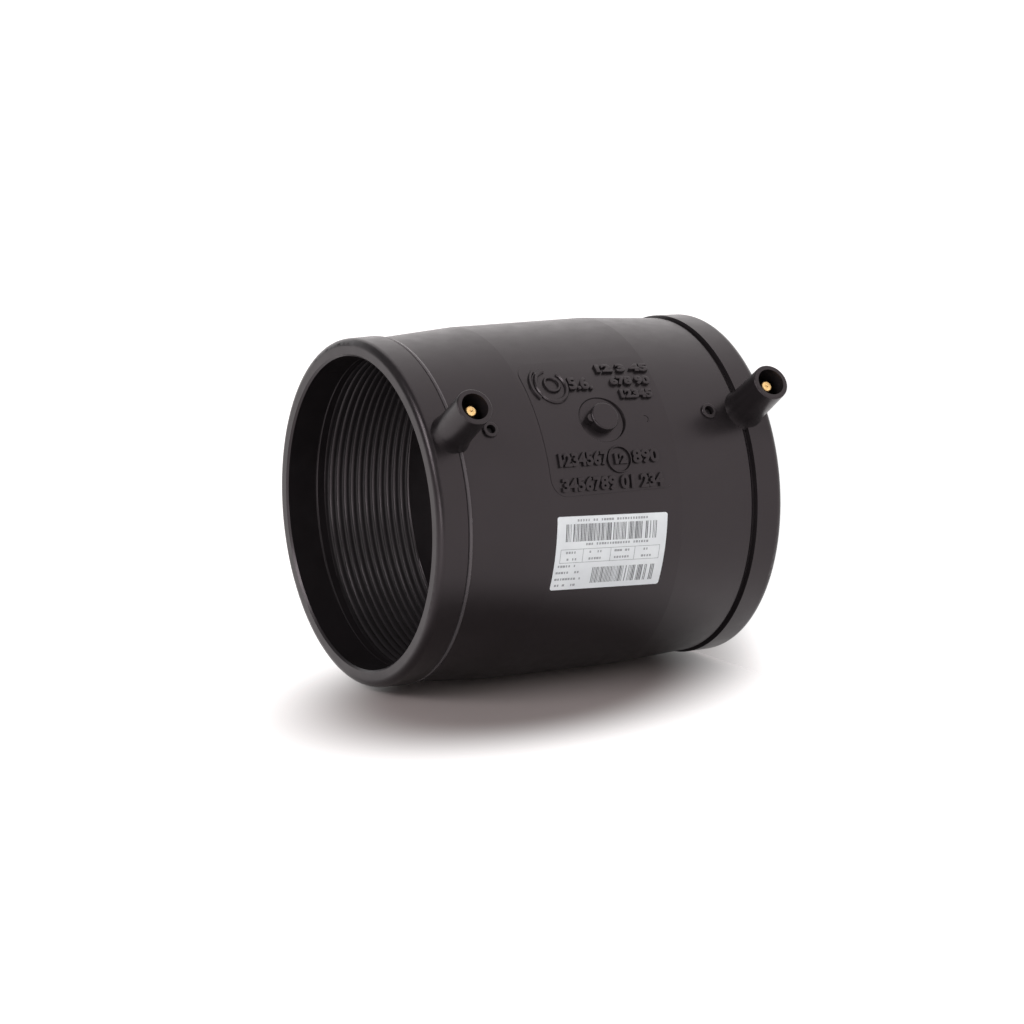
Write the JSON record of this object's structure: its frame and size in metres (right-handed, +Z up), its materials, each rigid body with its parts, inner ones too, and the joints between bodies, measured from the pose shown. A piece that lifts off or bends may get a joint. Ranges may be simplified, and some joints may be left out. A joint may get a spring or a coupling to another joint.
{
  "type": "electrofusion coupler",
  "caption": "Black polyethylene electrofusion pipe coupler with ribbed heating windings in its bore, shrouded brass terminal pins, fusion indicators and a label.",
  "frame": {"origin": "centre of the bore at the lower end face", "axes": "+Z up along the bore, -Y out along the terminal pins"},
  "size_m": [0.1424, 0.1645, 0.1568],
  "materials": {
    "coupler_plastic": "satin, black, moulded",
    "wire_coating": "satin, black",
    "indicator_plastic": "matte, black",
    "terminal_brass": "bright, turned",
    "resistance_wire": "drawn, bare",
    "label_film": "satin, printed"
  },
  "bodies": {
    "root": {"body": "coupler_plastic", "label": "label_film", "crossover_wire": "resistance_wire", "winding_upper": "wire_coating", "lead_wire_upper": "resistance_wire", "terminal_pin_upper": "terminal_brass", "indicator_pin_upper": "indicator_plastic", "winding_lower": "wire_coating", "lead_wire_lower": "resistance_wire", "terminal_pin_lower": "terminal_brass", "indicator_pin_lower": "indicator_plastic"}
  },
  "joints": []
}
